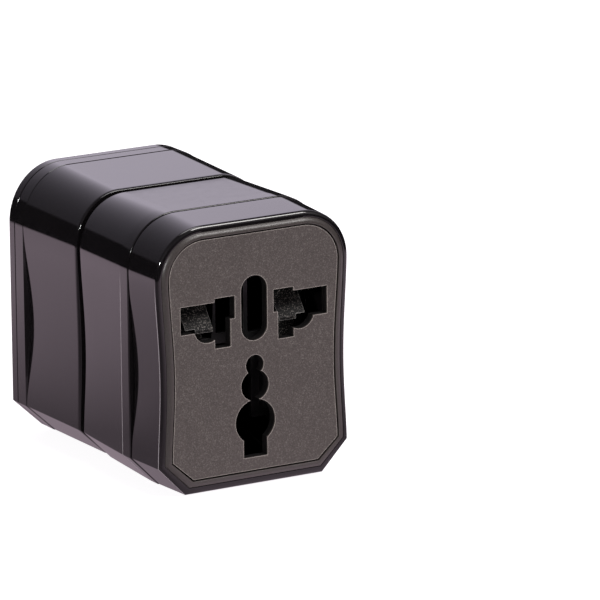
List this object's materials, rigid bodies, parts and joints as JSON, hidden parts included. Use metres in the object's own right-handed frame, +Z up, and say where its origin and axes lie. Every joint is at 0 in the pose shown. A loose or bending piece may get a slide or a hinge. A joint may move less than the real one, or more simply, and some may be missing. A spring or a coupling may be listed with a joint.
{
  "type": "universal travel adapter",
  "caption": "Universal travel adapter: a block with a multi-standard shuttered socket face, swivelling flat blades, and a pull-off rear module with slide-out round and rectangular pins.",
  "frame": {"origin": "under the middle of the body, level with its lowest edge", "axes": "+X to the right of someone facing the socket, +Y from the socket face towards the wall, +Z up"},
  "size_m": [0.0464, 0.0632, 0.0584],
  "materials": {
    "bezel_plastic": "spark-eroded warm grey",
    "gloss_shell": "polished black",
    "inner_plastic": "satin black",
    "shutter_plastic": "coarse dark grey",
    "contact_brass": "pressed sheet",
    "plated_pin": "nickel plated, lightly brushed",
    "steel": "zinc plated"
  },
  "bodies": {
    "socket_module": {"faceplate": "bezel_plastic", "front_bezel": "bezel_plastic", "front_shell": "gloss_shell", "mid_shell": "gloss_shell", "socket_back_plate": "inner_plastic", "contact_carrier": "inner_plastic", "live_contact": "contact_brass", "neutral_contact": "contact_brass", "shutter_spring_left": "steel", "shutter_spring_right": "steel", "socket_screw_1": "steel", "socket_screw_2": "steel", "socket_screw_3": "steel", "socket_screw_4": "steel"},
    "shutter_left_body": {"shutter_left": "shutter_plastic"},
    "shutter_right_body": {"shutter_right": "shutter_plastic"},
    "blade_left": {"blade_turret_left": "inner_plastic", "plug_blade_left": "plated_pin"},
    "blade_right": {"blade_turret_right": "inner_plastic", "plug_blade_right": "plated_pin"},
    "plug_module": {"rear_shell": "gloss_shell", "joining_plate": "inner_plastic", "rear_cover": "gloss_shell", "rear_live_bus": "contact_brass", "rear_neutral_bus": "contact_brass", "plug_screw_1": "steel", "plug_screw_2": "steel", "plug_screw_3": "steel", "plug_screw_4": "steel"},
    "eu_pins": {"eu_pin_carrier": "inner_plastic", "eu_pin_left": "plated_pin", "eu_pin_right": "plated_pin", "eu_slide_knob": "inner_plastic"},
    "uk_pins": {"uk_pin_carrier": "inner_plastic", "uk_pin_left": "plated_pin", "uk_pin_right": "plated_pin", "uk_earth_pin": "inner_plastic", "uk_slide_knob": "inner_plastic"}
  },
  "joints": [
    {"name": "shutter_left_slide", "type": "slide", "parent": "socket_module", "child": "shutter_left_body", "axis": [0, 0, -1], "range_m": [0, 0.0066], "stiffness_N_per_m": 120, "springref_m": -0.005, "deforming": ["shutter_spring_left"]},
    {"name": "shutter_right_slide", "type": "slide", "parent": "socket_module", "child": "shutter_right_body", "axis": [0, 0, -1], "range_m": [0, 0.0066], "stiffness_N_per_m": 120, "springref_m": -0.005, "deforming": ["shutter_spring_right"]},
    {"name": "blade_left_turn", "type": "hinge", "parent": "socket_module", "child": "blade_left", "pos_m": [-0.00635, 0.00145, 0.03], "axis": [0, 1, 0], "range_deg": [0, 30]},
    {"name": "blade_right_turn", "type": "hinge", "parent": "socket_module", "child": "blade_right", "pos_m": [0.00635, 0.00145, 0.03], "axis": [0, -1, 0], "range_deg": [0, 30]},
    {"name": "plug_module_pull", "type": "slide", "parent": "socket_module", "child": "plug_module", "axis": [0, 1, 0], "range_m": [0, 0.022]},
    {"name": "eu_pin_slide", "type": "slide", "parent": "plug_module", "child": "eu_pins", "axis": [0, 1, 0], "range_m": [0, 0.018]},
    {"name": "uk_pin_slide", "type": "slide", "parent": "plug_module", "child": "uk_pins", "axis": [0, 1, 0], "range_m": [0, 0.0177]}
  ]
}
